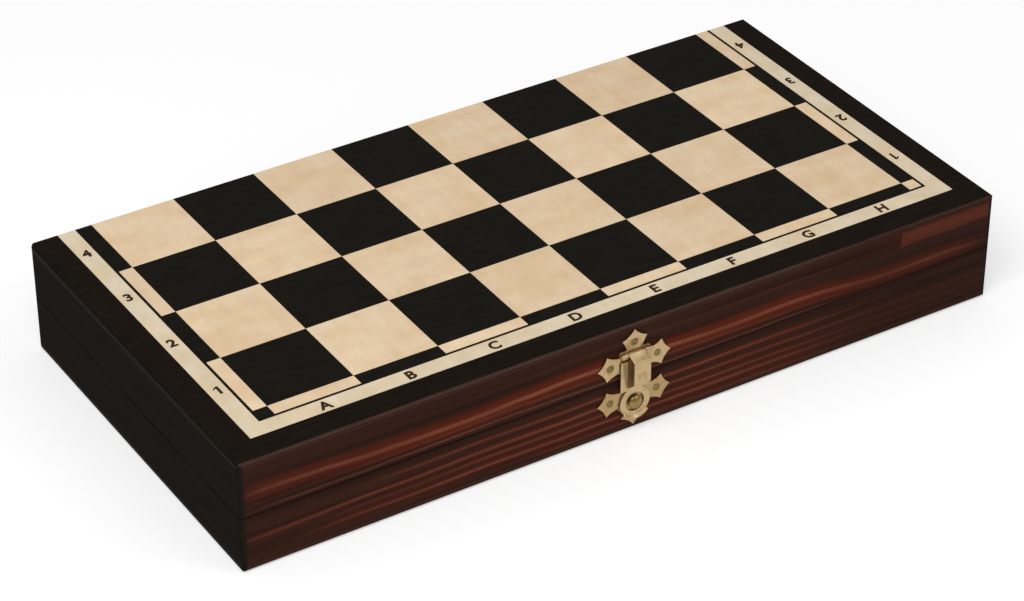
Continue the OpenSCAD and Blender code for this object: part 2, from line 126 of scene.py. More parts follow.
def addRange(tree, value, source, target=(0, 1), steps="LINEAR"):
    # the span source becomes the span target, and nothing goes beyond its ends
    settings = {"From Min": source[0], "From Max": source[1], "To Min": target[0], "To Max": target[1]}
    return addNode(tree, "MapRange", {"interpolation_type": steps, **settings}, {"Value": value}).outputs[0]


def addNoise(tree, place, texture, seed=None, turn=(0, 0, 0), distortion=0):
    # a texture is (spots per metre, detail); three numbers of spots stretch it along x, y and z
    spots, detail = texture
    settings = {"Scale": spots, "Detail": detail, "Distortion": distortion}
    if isinstance(spots, tuple):
        place = addNode(tree, "Mapping", {"Scale": spots, "Rotation": turn}, {"Vector": place}).outputs[0]
        settings["Scale"] = 1
    if seed is not None:
        settings.update({"noise_dimensions": "4D", "W": seed})
    return addNode(tree, "TexNoise", settings, {"Vector": place}).outputs[0]


def startMaterial(name, settings):
    material = bpy.data.materials.new(name)
    material.use_nodes = True
    tree = material.node_tree
    tree.nodes.clear()
    shader = addNode(tree, "BsdfPrincipled", settings)
    addNode(tree, "OutputMaterial", None, {"Surface": shader.outputs[0]})
    place = addNode(tree, "TexCoord").outputs["Object"]
    return material, tree, shader, place


def finishMaterial(tree, shader, colour, rough, relief, bump):
    # bump is (strength, height in metres); a material of one roughness has None for rough
    settings = {"Strength": bump[0], "Distance": bump[1]}
    normal = addNode(tree, "Bump", settings, {"Height": relief}).outputs[0]
    for name, socket in (("Base Color", colour), ("Roughness", rough), ("Normal", normal)):
        if socket:
            tree.links.new(socket, shader.inputs[name])


def setRamp(ramp, stops):
    # stops are (position, colour) pairs, from 0 to 1
    elements = ramp.color_ramp.elements
    while len(elements) > 1:
        elements.remove(elements[-1])
    elements[0].position, elements[0].color = stops[0]
    for position, colour in stops[1:]:
        elements.new(position).color = colour


# pine rails, stained dark red-brown and waxed: the soft early wood drinks the stain and goes nearly
# black, the hard bands of late wood stay orange-red, so long streaks run along the rail
pineSettings = {
    "ground": "#351D15",
    "deep": "#27140E",
    "halo": "#541E0E",
    "streak": "#7B4837",
    "black": "#1A1613",
    "resin": "#54291C",
    "resinShare": 0.85,
    "roughness": (0.45, 0.65),
    "specular": 0.03,
    "wander": (22, 3),
    "wanderBy": (-0.5, 0.5),    # mm
    "fibres": ((22, 300, 2400), 3),     # 0.4 mm apart
    "fibreLevels": (0.8, 1.2),          # they make it lighter and darker by a fifth
    "bands": ((7, 60, 480), 2),         # 2 mm apart
    "bandSpan": (0.32, 0.6),
    "uptake": ((16, 60, 300), 2),       # the stain took better in some places
    "uptakeSpan": (0.36, 0.62),
    "uptakeLevels": (0.55, 1),
    "bump": (0.35, 0.00006),
    "spread": 25,               # mm of height that a streak can lie in
    "coreReach": 1.3,           # a streak fades out at this many half widths
    "haloFull": 0.35,           # and its halo is full up to this share of its half width
    "blackEnds": (172.8, 174.2),    # mm from the middle: the black stain of the end rails laps round here
    "stainEdge": (180, 2),
    "stainUneven": 0.0012,      # m
    "darkening": (72, 104, 0.82),   # darker towards the right-hand end: from, to (mm from the middle), level
    "rim": (2.2, 0.6, 0.76),    # painted shade along the top of the lower rail, under the gap to the lid: from, to (mm below the edge), level
    "patchEdge": (260, 2),
    "patchUneven": (-0.35, 0.35),   # mm
    "patchFades": (0.8, 14, 1.2, 2.5),  # mm, at the left, right, lower and upper edge of the resin streak
}

# each streak has its half width, the half width of the red halo round it, and places along the rail
# as (mm from the middle, mm above the table, strength)
lidFrontStreaks = (
    {"half": 1.3, "halo": 5.6, "places": (
        (-171, 35.2, 0.2), (-164, 35.6, 0.6), (-144, 35.3, 0.55), (-132, 34.3, 0.6), (-114, 33.3, 0.75),
        (-96, 32.8, 0.9), (-74, 32.3, 1), (-54, 32.8, 0.95), (-34, 34.2, 1), (0, 34.3, 1), (22, 33.2, 1),
        (42, 32.3, 0.95), (62, 32.8, 0.95), (86, 32.5, 0.85), (100, 31.3, 0.7), (114, 29.6, 0.55),
        (130, 29.6, 0.5), (148, 29.8, 0.55), (160, 29.7, 0.4), (171, 29.2, 0.05))},
    {"half": 0.05, "halo": 6.5, "places": (
        (116, 44.5, 0), (126, 44.8, 0.2), (138, 46.5, 0.5), (172, 46.2, 0.5))},
    {"half": 0.6, "halo": 0, "places": (
        (-165, 27.3, 0), (-150, 27.3, 0.42), (-40, 27.3, 0.5), (24, 26.3, 0.42), (84, 26.2, 0.35),
        (98, 26.2, 0))},
    {"half": 0.8, "halo": 0, "places": (
        (-150, 30.0, 0), (-90, 29.6, 0.22), (-20, 30.6, 0.3), (50, 29.4, 0.25), (100, 28.2, 0.1),
        (150, 27.4, 0.2), (165, 27.4, 0))},
    {"half": 0.9, "halo": 0, "places": (
        (-60, 41.5, 0), (-30, 42.5, 0.12), (10, 43.0, 0.16), (70, 42.4, 0.14), (110, 41.4, 0.05),
        (150, 41, 0))},
)
baseFrontStreaks = (
    {"half": 0.8, "halo": 1.8, "places": (
        (-125, 20.4, 0), (-100, 20.3, 0.3), (-30, 19.8, 0.42), (24, 19.4, 0.68), (72, 19.1, 0.62),
        (94, 18.9, 0.2), (130, 18.8, 0))},
    {"half": 0.9, "halo": 2.2, "places": (
        (-171, 14.4, 0.1), (-163, 14.6, 0.3), (-120, 15.0, 0.38), (-60, 15.3, 0.55), (0, 15.2, 0.6),
        (60, 14.5, 0.5), (90, 14.3, 0.25), (125, 14.2, 0.05))},
    {"half": 0.7, "halo": 2.2, "places": (
        (-150, 10.9, 0), (-125, 11.2, 0.25), (-40, 11.8, 0.5), (30, 10.8, 0.6), (72, 10.3, 0.4),
        (110, 10.1, 0.05))},
    {"half": 0.9, "halo": 2.6, "places": (
        (-150, 8.0, 0), (-120, 7.7, 0.45), (-60, 7.8, 0.5), (0, 7.6, 0.65), (50, 7.3, 0.6),
        (85, 6.8, 0.25), (120, 6.8, 0.02))},
    {"half": 0.8, "halo": 2.4, "places": (
        (-60, 4.6, 0), (-36, 4.4, 0.25), (24, 3.4, 0.34), (60, 3.0, 0.38), (84, 2.8, 0.25),
        (112, 2.6, 0))},
)
lidBackStreaks = (
    {"half": 1.2, "halo": 3.0, "places": (
        (-172, 38.5, 0.3), (-60, 40.0, 0.85), (50, 39.0, 0.7), (172, 41.0, 0.3))},
    {"half": 0.8, "halo": 1.8, "places": (
        (-172, 33.0, 0.5), (-20, 34.4, 0.6), (90, 33.0, 0.8), (172, 32.2, 0.2))},
    {"half": 0.6, "halo": 0, "places": (
        (-172, 29.2, 0.1), (-70, 28.8, 0.45), (60, 29.6, 0.3), (172, 29.0, 0.4))},
)
baseBackStreaks = (
    {"half": 0.7, "halo": 1.6, "places": (
        (-172, 20.2, 0.2), (-40, 19.4, 0.6), (70, 20.0, 0.5), (172, 19.4, 0.2))},
    {"half": 1.1, "halo": 2.8, "places": (
        (-172, 13.4, 0.5), (-50, 14.6, 0.8), (60, 13.6, 0.8), (172, 12.6, 0.4))},
    {"half": 0.7, "halo": 1.4, "places": (
        (-172, 8.0, 0.3), (-30, 8.8, 0.5), (100, 7.8, 0.6), (172, 8.4, 0.2))},
)


def addStreak(tree, along, height, low, streak):
    # the ramp along the rail holds the height of the streak in red and its strength in green
    s = pineSettings
    ramp = addNode(tree, "ValToRGB", None, {0: along})
    ramp.color_ramp.interpolation = "B_SPLINE"
    setRamp(ramp, [((x + halfLength) / (2 * halfLength), ((z - low) / s["spread"], strength, 0, 1))
                   for x, z, strength in streak["places"]])
    parts = addNode(tree, "SeparateColor", None, {0: ramp.outputs[0]}).outputs
    centre = addRange(tree, parts[0], (0, 1), (low, low + s["spread"]))
    away = calculate(tree, "ABSOLUTE", calculate(tree, "SUBTRACT", height, centre))
    shares = []
    spans = ((streak["half"] * s["coreReach"], 0), (streak["halo"], streak["halo"] * s["haloFull"]))
    for reach, full in spans:
        if reach:
            level = addRange(tree, away, (reach, full), steps="SMOOTHSTEP")
            shares.append(calculate(tree, "MULTIPLY", level, parts[1]))
        else:
            shares.append(None)
    return shares


def stainedPine(name, low, streaks, seed, patch=None, rim=None):
    # all in mm: low is the rail's lower edge, patch a resin streak that took less stain (left, right,
    # bottom, top), and rim a top edge with painted shade from the gap above it
    s = pineSettings
    material, tree, shader, place = startMaterial(name, {"Specular IOR Level": s["specular"]})
    split = addNode(tree, "SeparateXYZ", None, {0: place}).outputs
    along = addRange(tree, split["X"], (-halfLength * mm, halfLength * mm))
    heightMm = calculate(tree, "MULTIPLY", split["Z"], 1 / mm)
    # the grain wanders up and down a little along the rail
    alongOnly = addNode(tree, "CombineXYZ", None, {"X": split["X"]}).outputs[0]
    wander = addRange(tree, addNoise(tree, alongOnly, s["wander"], seed), noiseSpan, s["wanderBy"])
    height = calculate(tree, "ADD", heightMm, wander)
    shares = [addStreak(tree, along, height, low, streak) for streak in streaks]
    core = combine(tree, "MAXIMUM", [share[0] for share in shares])
    halo = combine(tree, "MAXIMUM", [share[1] for share in shares if share[1]])
    fibres = addNoise(tree, place, s["fibres"], seed + 5)
    bands = addRange(tree, addNoise(tree, place, s["bands"], seed + 7), s["bandSpan"])
    uptake = addRange(tree, addNoise(tree, place, s["uptake"], seed + 3), s["uptakeSpan"], s["uptakeLevels"])
    core = calculate(tree, "MULTIPLY", core, uptake)
    colour = mixColours(tree, bands, s["deep"], s["ground"])
    colour = mixColours(tree, halo, colour, s["halo"])
    colour = mixColours(tree, core, colour, s["streak"])
    start, end, level = s["darkening"]
    dark = addRange(tree, split["X"], (start * mm, end * mm), (1, level))
    colour = mixColours(tree, 1, colour, dark, "MULTIPLY")
    # painted shade under the gap between lid and base
    if rim:
        start, end, level = s["rim"]
        dark = addRange(tree, heightMm, (rim - start, rim - end), (1, level))
        colour = mixColours(tree, 1, colour, dark, "MULTIPLY")
    if patch:
        left, right, bottom, top = patch
        ragged = addRange(tree, addNoise(tree, place, s["patchEdge"]), noiseSpan, s["patchUneven"])
        alongMm = calculate(tree, "MULTIPLY_ADD", split["X"], 1 / mm, ragged)
        roughHeight = calculate(tree, "ADD", heightMm, ragged)
        atLeft, atRight, below, above = s["patchFades"]
        spans = ((alongMm, (left, left + atLeft)), (alongMm, (right, right - atRight)),
                 (roughHeight, (bottom, bottom + below)), (roughHeight, (top, top - above)))
        shares = [addRange(tree, value, span) for value, span in spans]
        share = combine(tree, "MULTIPLY", shares + [s["resinShare"]])
        colour = mixColours(tree, share, colour, s["resin"])
    colour = mixColours(tree, 1, colour, addRange(tree, fibres, noiseSpan, s["fibreLevels"]), "MULTIPLY")
    # black ends, with a slightly uneven edge to the stain
    distance = calculate(tree, "ABSOLUTE", split["X"])
    stainEdge = addNoise(tree, place, s["stainEdge"])
    uneven = calculate(tree, "MULTIPLY_ADD", stainEdge, s["stainUneven"], distance)
    start, end = s["blackEnds"]
    colour = mixColours(tree, addRange(tree, uneven, (start * mm, end * mm)), colour, s["black"])
    rough = addRange(tree, fibres, noiseSpan, s["roughness"])
    finishMaterial(tree, shader, colour, rough, fibres, s["bump"])
    return material


# lime rails and edge bands under an opaque black water stain: only a faint grain is left, a little
# lighter where the fibres stand up; along the front bevel of the board a painted highlight in light brown
blackSettings = {
    "grainDetail": 4,
    "grainSpan": (0.42, 0.72),
    "roughness": (0.45, 0.65),
    "bump": (0.3, 0.00005),
    "ends": "#16120E",
    "endsFrom": (172.8, 173.8),     # mm from the middle
    # light brown of the painted highlight on the front bevel
    "paintedBevelHighlight": "#42302A",
    "paintedHighlightFrom": (-86.5, -86.85),  # mm; the painted highlight on the bevel lies in front of this
    "leaning": (-0.3, -0.45),   # where a normal's way to the front times its upright part is a bevel's
    "patches": (60, 4),
    "patchSpan": (0.3, 0.6),
    "patchLevels": (0.55, 1),
    "rightLevels": (0.45, 1),   # the painted highlight is weaker towards the right
}


def blackWood(name, stretch, seed, specular, ground, fibre, paintedBevelHighlight=False, blackEnds=False):
    # only a piece with the painted bevel highlight can have black ends
    s = blackSettings
    material, tree, shader, place = startMaterial(name, {"Specular IOR Level": specular})
    grain = addNoise(tree, place, (stretch, s["grainDetail"]), seed)
    colour = mixColours(tree, addRange(tree, grain, s["grainSpan"]), ground, fibre)
    if paintedBevelHighlight:
        side = addNode(tree, "SeparateXYZ", None, {0: place}).outputs
        start, end, fall = pineSettings["darkening"]
        right = addRange(tree, side["X"], (start * mm, end * mm), (1, fall))
        if blackEnds:
            # the front edge is brown like the rails, darker to the right, and the two ends are black
            colour = mixColours(tree, 1, colour, right, "MULTIPLY")
            start, end = s["endsFrom"]
            distance = calculate(tree, "ABSOLUTE", side["X"])
            colour = mixColours(tree, addRange(tree, distance, (start * mm, end * mm)), colour, s["ends"])
        # painted highlight on the bevel, which is where the normal leans to the front and upwards or
        # downwards at once
        lean = addNode(tree, "SeparateXYZ", None, {0: addNode(tree, "TexCoord").outputs["Normal"]}).outputs
        both = calculate(tree, "MULTIPLY", lean["Y"], calculate(tree, "ABSOLUTE", lean["Z"]))
        start, end = s["paintedHighlightFrom"]
        share = combine(tree, "MULTIPLY", [
            addRange(tree, both, s["leaning"]),
            addRange(tree, addNoise(tree, place, s["patches"]), s["patchSpan"], s["patchLevels"]),
            addRange(tree, side["Y"], (start * mm, end * mm)),
            addRange(tree, right, (fall, 1), s["rightLevels"]),
        ])
        colour = mixColours(tree, share, colour, s["paintedBevelHighlight"])
    rough = addRange(tree, grain, noiseSpan, s["roughness"])
    finishMaterial(tree, shader, colour, rough, grain, s["bump"])
    return material


# birch veneer under matt varnish: pale cream with peach clouds, a faint silky figure across the fibres
# and tiny flecks along them; every square is cut from another place of the sheet
birchSettings = {
    "specular": 0.12,
    "roughness": (0.38, 0.52),
    "bump": (0.15, 0.00003),
    "sheet": 3,                 # m, the size of the sheet that the squares are cut from
    "clouds": ((45, 85, 85), 3),
    "cloudSpan": (0.35, 0.65),
    "figure": ((160, 40, 40), 2),
    "figureTurn": (0, 0, 0.5),
    "figureDistortion": 1.2,
    "figureLevels": (0.96, 1.04),
    "flecks": ((300, 2600, 2600), 2),
    "fleckLevels": (0.955, 1.045),
}
# how the sheets are cut: size of a piece in mm and where its corners lie, in pieces from the middle (the
# squares meet at the middle of the length and 13.5 mm behind the middle of the depth)
squareCut = {"cell": square, "corner": (0, -13.5 / square, 0.5)}
stripCut = {"cell": 1000, "corner": (0.5, 0.5, 0.5)}


def birchVeneer(name, pale, peach, tint, cut):
    # tint is how much the pieces differ in lightness
    s = birchSettings
    material, tree, shader, place = startMaterial(name, {"Specular IOR Level": s["specular"]})
    perMetre = (1 / mm / cut["cell"],) * 3
    cutting = {"operation": "MULTIPLY_ADD", 1: perMetre, 2: cut["corner"]}
    cells = addNode(tree, "VectorMath", cutting, {0: place})
    whole = addNode(tree, "VectorMath", {"operation": "FLOOR"}, {0: cells.outputs[0]})
    chance = addNode(tree, "TexWhiteNoise", {"noise_dimensions": "3D"}, {"Vector": whole.outputs[0]}).outputs
    shift = addNode(tree, "VectorMath", {"operation": "SCALE", "Scale": s["sheet"]}, {0: chance["Color"]})
    moved = addNode(tree, "VectorMath", {"operation": "ADD"}, {0: place, 1: shift.outputs[0]}).outputs[0]
    clouds = addRange(tree, addNoise(tree, moved, s["clouds"]), s["cloudSpan"])
    figure = addNoise(tree, moved, s["figure"], None, s["figureTurn"], s["figureDistortion"])
    flecks = addNoise(tree, moved, s["flecks"])
    level = combine(tree, "MULTIPLY", [
        addRange(tree, figure, noiseSpan, s["figureLevels"]),
        addRange(tree, flecks, noiseSpan, s["fleckLevels"]),
        addRange(tree, chance["Value"], (0, 1), (1 - tint, 1 + tint / 2)),
    ])
    colour = mixColours(tree, 1, mixColours(tree, clouds, pale, peach), level, "MULTIPLY")
    rough = addRange(tree, flecks, noiseSpan, s["roughness"])
    finishMaterial(tree, shader, colour, rough, flecks, s["bump"])
    return material


# the letters and numbers are burnt into the strip: matt dark brown char
charSettings = {
    "dark": "#2A1A10",
    "light": "#3B2718",
    "roughness": 0.8,
    "specular": 0.1,
    "soot": (1400, 3),
    "bump": (0.4, 0.00004),
}


def charredWood(name):
    s = charSettings
    material, tree, shader, place = startMaterial(name, {
        "Roughness": s["roughness"], "Specular IOR Level": s["specular"]})
    soot = addNoise(tree, place, s["soot"])
    colour = mixColours(tree, soot, s["dark"], s["light"])
    finishMaterial(tree, shader, colour, None, soot, s["bump"])
    return material


# stamped steel with a thin coat of brass: soft beige gold, slightly wavy from the stamping, with fine rubbing
# marks and brown tarnish in blotches; tarnish and painted shade in the dimples round the nails and at the
# knob's foot, painted shade on the side walls of the hasp's bridge
brassSettings = {
    "gold": "#C3A87E",
    # brown for tarnish and for painted shade
    "tarnishAndShade": "#6E5A34",
    "blotches": (420, 4),
    "blotchSpan": (0.52, 0.72),
    "blotchShare": 0.35,
    "shadedShare": 0.8,
    "wallSpan": (0.75, 0.98),
    "wallShare": 0.9,
    "rubbing": ((2500, 2500, 500), 2),
    "rubbingTurn": (0, 0.5, 0),
    "rubbingRelief": 0.05,
    "rougher": (-0.06, 0.1),
    "waves": (260, 1),
    "bump": (0.3, 0.0002),
}
# how deep the tarnish and painted shade lie, in mm in front of the box: where they are full, and where they
# end
plateShade = (0.45, 0.76)
knobShade = (1.9, 2.4)


def platedBrass(name, gold, tarnishAndShade, roughness, shaded=None, walls=False):
    # the walls switch paints shade on the faces that look to the left and right
    s = brassSettings
    material, tree, shader, place = startMaterial(name, {"Metallic": 1})
    blotches = addNoise(tree, place, s["blotches"])
    shares = [addRange(tree, blotches, s["blotchSpan"], (0, s["blotchShare"]))]
    # tarnish and painted shade close to the face of the box: in the dimples round the nails and at the knob's
    # foot
    if shaded:
        full, end = shaded
        depth = addNode(tree, "SeparateXYZ", None, {0: place}).outputs["Y"]
        span = ((frontFace - end) * mm, (frontFace - full) * mm)
        shares.append(addRange(tree, depth, span, (0, s["shadedShare"])))
    # painted shade on the side walls of the hasp's bridge
    if walls:
        lean = addNode(tree, "SeparateXYZ", None, {0: addNode(tree, "TexCoord").outputs["Normal"]}).outputs
        sideways = calculate(tree, "ABSOLUTE", lean["X"])
        shares.append(addRange(tree, sideways, s["wallSpan"], (0, s["wallShare"])))
    colour = mixColours(tree, combine(tree, "MAXIMUM", shares), gold, tarnishAndShade)
    rubbing = addNoise(tree, place, s["rubbing"], None, s["rubbingTurn"])
    smoother, rougher = s["rougher"]
    rough = addRange(tree, rubbing, noiseSpan, (roughness + smoother, roughness + rougher))
    relief = calculate(tree, "MULTIPLY_ADD", rubbing, s["rubbingRelief"], addNoise(tree, place, s["waves"]))
    finishMaterial(tree, shader, colour, rough, relief, s["bump"])
    return material


# needle felt of dyed wool: dull green with tangled fibres and a soft sheen at the edges of the view
feltSettings = {
    "dark": "#22402A",
    "light": "#3B6344",
    "surface": {"Roughness": 0.95, "Specular IOR Level": 0.05, "Sheen Weight": 0.35, "Sheen Roughness": 0.5,
                "Sheen Tint": linear("#9DB8A0")},
    "tangle": (900, 5),
    "tangleDistortion": 1.5,
    "clouds": (40, 3),
    "cloudShare": 0.4,
    "span": (0.5, 0.95),
    "bump": (0.8, 0.0002),
}


def woolFelt(name):
    s = feltSettings
    material, tree, shader, place = startMaterial(name, s["surface"])
    tangle = addNoise(tree, place, s["tangle"], distortion=s["tangleDistortion"])
    both = calculate(tree, "MULTIPLY_ADD", addNoise(tree, place, s["clouds"]), s["cloudShare"], tangle)
    colour = mixColours(tree, addRange(tree, both, s["span"]), s["dark"], s["light"])
    finishMaterial(tree, shader, colour, None, tangle, s["bump"])
    return material


def dress(nodeName, material):
    mesh = nodes[nodeName].data
    mesh.materials.clear()
    mesh.materials.append(material)


gold, tarnishAndShade = brassSettings["gold"], brassSettings["tarnishAndShade"]
resinStreak = (127.6, 186, 39.7, 48)
lidPine = stainedPine("stainedPineLidFront", 25, lidFrontStreaks, 1.3, resinStreak)
lidPineBack = stainedPine("stainedPineLidBack", 25, lidBackStreaks, 4.1)
basePine = stainedPine("stainedPineBaseFront", 0, baseFrontStreaks, 7.7, rim=25)
basePineBack = stainedPine("stainedPineBaseBack", 0, baseBackStreaks, 9.2)
blackAcross = blackWood("blackStainedLimeSides", (900, 25, 1500), 2.0, 0.003, "#16120E", "#251F1A")
blackAlong = blackWood("blackStainedVeneer", (60, 1200, 1200), 5.0, 0.02, "#140F0B", "#231B14", True)
boardEdge = blackWood("stainedPlywoodEdge", (60, 1200, 2400), 3.0, 0.02, "#35201A", "#442A21", True, True)
birchSquares = birchVeneer("birchVeneerSquares", "#E5CDAC", "#DFC19C", 0.05, squareCut)
birchStrip = birchVeneer("birchVeneerStrip", "#DDCEB4", "#D8C3A2", 0, stripCut)
darkSquares = blackWood("blackDyedVeneer", (70, 1500, 1500), 8.0, 0.02, "#14120F", "#221E18")
charred = charredWood("charredLetters")
plateBrass = platedBrass("brassPlatedSteelPlates", gold, tarnishAndShade, 0.42, plateShade)
lowerPlateBrass = platedBrass("brassPlatedSteelLowerPlate", "#B2976B", tarnishAndShade, 0.42, plateShade)
# the hasp gets painted shade on the side walls of its bridge
haspBrass = platedBrass("brassPlatedSteelHasp", gold, tarnishAndShade, 0.4, walls=True)
nailBrass = platedBrass("tarnishedBrassNails", "#8C7A50", "#5E4C2A", 0.45)
# the knob's gold is darker than the plates' and darker still at its foot: tarnish and painted shade from the
# eye round it
knobBrass = platedBrass("turnedBrassKnob", "#957D4A", tarnishAndShade, 0.24, knobShade)
hingeBrass = platedBrass("rolledBrass", "#B49A62", "#7A6234", 0.36)
pinBrass = platedBrass("drawnBrass", "#B89C62", "#7E6636", 0.34)
felt = woolFelt("needleFelt")

for half, frontPine, backPine in (("lid", lidPine, lidPineBack), ("base", basePine, basePineBack)):
    finishes = {
        "front_rail": frontPine, "back_rail": backPine, "left_rail": blackAcross, "right_rail": blackAcross,
        "board_panel": boardEdge, "light_squares": birchSquares, "dark_squares": darkSquares,
        "light_border_cells": birchSquares, "dark_border_cells": darkSquares, "inlay_line": darkSquares,
        "coordinate_strip": birchStrip, "outer_band": blackAlong,
    }
    for part, material in finishes.items():
        dress(half + "_" + part, material)
for nodeName in ("hinge_pins", "hinge_screws_base", "hinge_screws_lid", "hasp_pin"):
    dress(nodeName, pinBrass)
for nodeName in ("catch_nails", "latch_nails"):
    dress(nodeName, nailBrass)
print("materials made")


# the nodes come as triangles: points nearer than weld (m) and faces flatter than flat (degrees) are joined
skinSettings = {"weld": 1e-6, "flat": 0.5}


def looseCopy(nodeName, pieceName):
    # a copy of a node with its triangles joined into one skin
    pick(nodes[nodeName])
    bpy.ops.object.duplicate()
    piece = bpy.context.object
    piece.name = pieceName
    piece.data.name = pieceName
    for key in list(piece.keys()):
        del piece[key]
    piece.parent = None
    bpy.ops.object.mode_set(mode="EDIT")
    bpy.ops.mesh.select_all(action="SELECT")
    bpy.ops.mesh.remove_doubles(threshold=skinSettings["weld"])
    bpy.ops.mesh.dissolve_limited(angle_limit=math.radians(skinSettings["flat"]))
    bpy.ops.object.mode_set(mode="OBJECT")
    return piece


# sheet metal with the soft edges that stamping and tumbling leave; widths in mm, angles in degrees
metalPieces = [
    {"node": "latch_plate", "body": "lid", "slot": "latch_brass", "material": plateBrass, "edge": 0.08},
    {"node": "catch_plate", "body": "base", "slot": "latch_brass", "material": lowerPlateBrass, "edge": 0.05},
    {"node": "hasp", "body": "hasp", "slot": "latch_brass", "material": haspBrass, "edge": 0.16,
     "fold": 0.55},
    {"node": "catch_knob", "body": "base", "slot": "latch_brass", "material": knobBrass, "edge": 0.14},
]
for half in ("base", "lid"):
    for side in ("left", "right"):
        metalPieces.append({"node": f"hinge_{side}_{half}_leaf", "body": half, "slot": "hinge_brass",
                            "material": hingeBrass, "edge": 0.12})
softSettings = {
    "foldsBeyond": 6.9,         # mm in front of the box, where the face of the hasp's bridge is
    "foldSegments": 4,
    "segments": 2,
    "sharp": 40,
    "smooth": 35,
}


def softenMetal(settings):
    s = softSettings
    piece = looseCopy(settings["node"], settings["node"] + "_soft")
    if "fold" in settings:
        # the folds round the face of the hasp's bridge are wider than the cut edges
        foldY = (frontFace - s["foldsBeyond"]) * mm
        bpy.ops.object.mode_set(mode="EDIT")
        bpy.ops.mesh.select_mode(type="EDGE")
        bpy.ops.mesh.select_all(action="DESELECT")
        bpy.ops.object.mode_set(mode="OBJECT")
        for edge in piece.data.edges:
            edge.select = all(piece.data.vertices[v].co.y < foldY for v in edge.vertices)
        bpy.ops.object.mode_set(mode="EDIT")
        bpy.ops.mesh.bevel(offset=settings["fold"] * mm, segments=s["foldSegments"])
        bpy.ops.object.mode_set(mode="OBJECT")
    soft = piece.modifiers.new("soft edges", "BEVEL")
    soft.width = settings["edge"] * mm
    soft.segments = s["segments"]
    soft.limit_method = "ANGLE"
    soft.angle_limit = math.radians(s["sharp"])
    pick(piece)
    bpy.ops.object.modifier_apply(modifier=soft.name)
    bpy.ops.object.shade_smooth_by_angle(angle=math.radians(s["smooth"]))
    piece.data.materials.clear()
    piece.data.materials.append(settings["material"])
    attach(piece, settings["body"])
    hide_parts(settings["node"])
    return piece


for settings in metalPieces:
    piece = softenMetal(settings)
    print("edges softened on", settings["node"], len(piece.data.polygons), "faces")


# letters and numbers, burnt into the coordinate strips; in mm, but bold, extrude and the flag are in the
# font's own units
letterSettings = {
    "height": 5.4,
    "depth": 0.05,
    "cutter": 1,
    "surface": {"lid": 50, "base": 0},
    "stripCentre": 11.1,        # outside the squares
    "squaresFront": -60.5,
    "squaresSide": 148,
    "files": "ABCDEFGH",
    "bold": 0.042,
    "extrude": 0.5,
    "curveSteps": 4,
    "flagFrom": (-0.06, -0.13),     # from the upper left corner of the 1
    "flagTurn": 0.75,
    "flagSize": (0.34, 0.1),
}


def makeLetter(mark):
    s = letterSettings
    clearSelection()
    bpy.ops.object.text_add()
    text = bpy.context.object
    text.data.body = mark
    text.data.align_x = "CENTER"
    text.data.offset = s["bold"]
    text.data.resolution_u = s["curveSteps"]
    text.data.extrude = s["extrude"]
    bpy.ops.object.convert(target="MESH")
    letter = bpy.context.object
    if mark == "1":
        # the font's 1 is a plain bar, so it gets a slanted flag
        top = max(v.co.y for v in letter.data.vertices)
        left = min(v.co.x for v in letter.data.vertices)
        clearSelection()
        bpy.ops.mesh.primitive_cube_add(size=1)
        flag = bpy.context.object
        corner = Matrix.Translation((left + s["flagFrom"][0], top + s["flagFrom"][1], 0))
        flag.data.transform(corner @ Matrix.Rotation(s["flagTurn"], 4, "Z")
                            @ Matrix.Diagonal((*s["flagSize"], 1, 1)))
        letter.select_set(True)
        bpy.context.view_layer.objects.active = letter
        bpy.ops.object.join()
        letter = bpy.context.object
    return letter


def burnCoordinates(half, ranks, upSign):
    s = letterSettings
    marks = []
    for i, letter in enumerate(s["files"]):
        x = -s["squaresSide"] + (i + 0.5) * square
        marks.append((letter, x, s["squaresFront"] - s["stripCentre"], upSign < 0))
    for i, digit in enumerate(ranks):
        y = s["squaresFront"] + (i + 0.5) * square
        marks.append((digit, -s["squaresSide"] - s["stripCentre"], y, False))
        marks.append((digit, s["squaresSide"] + s["stripCentre"], y, True))
    thick = s["cutter"] * mm
    middle = s["surface"][half] * mm + upSign * (thick / 2 - s["depth"] * mm)
    letters = []
    for mark, x, y, turned in marks:
        letter = makeLetter(mark)
        corners = [v.co.copy() for v in letter.data.vertices]
        low = Vector([min(c[i] for c in corners) for i in range(3)])
        high = Vector([max(c[i] for c in corners) for i in range(3)])
        size = s["height"] / (high.y - low.y) * mm
        centre = (low + high) / 2
        facing = Matrix.Rotation(math.pi if turned else 0, 4, "Z")
        if upSign < 0:
            facing = Matrix.Rotation(math.pi, 4, "X") @ facing
        letter.data.transform(Matrix.Translation((x * mm, y * mm, middle)) @ facing
                              @ Matrix.Diagonal((size, size, thick, 1)) @ Matrix.Translation(-centre))
        letters.append(letter)
    clearSelection()
    for letter in letters:
        letter.select_set(True)
    bpy.context.view_layer.objects.active = letters[0]
    bpy.ops.object.join()
    cutter = bpy.context.object
    cutter.data.materials.append(charred)
    bpy.ops.object.mode_set(mode="EDIT")
    bpy.ops.mesh.select_all(action="SELECT")
    bpy.ops.mesh.remove_doubles(threshold=skinSettings["weld"])
    bpy.ops.mesh.normals_make_consistent(inside=False)
    bpy.ops.object.mode_set(mode="OBJECT")
    strip = looseCopy(half + "_coordinate_strip", half + "_lettered_strip")
    strip.data.materials.append(charred)
    pick(strip)
    cut = strip.modifiers.new("letters", "BOOLEAN")
    cut.operation = "DIFFERENCE"
    cut.solver = "EXACT"
    cut.use_self = True
    cut.material_mode = "TRANSFER"
    cut.object = cutter
    bpy.ops.object.modifier_apply(modifier=cut.name)
    bpy.data.objects.remove(cutter)
    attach(strip, half)
    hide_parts(half + "_coordinate_strip")
    return strip


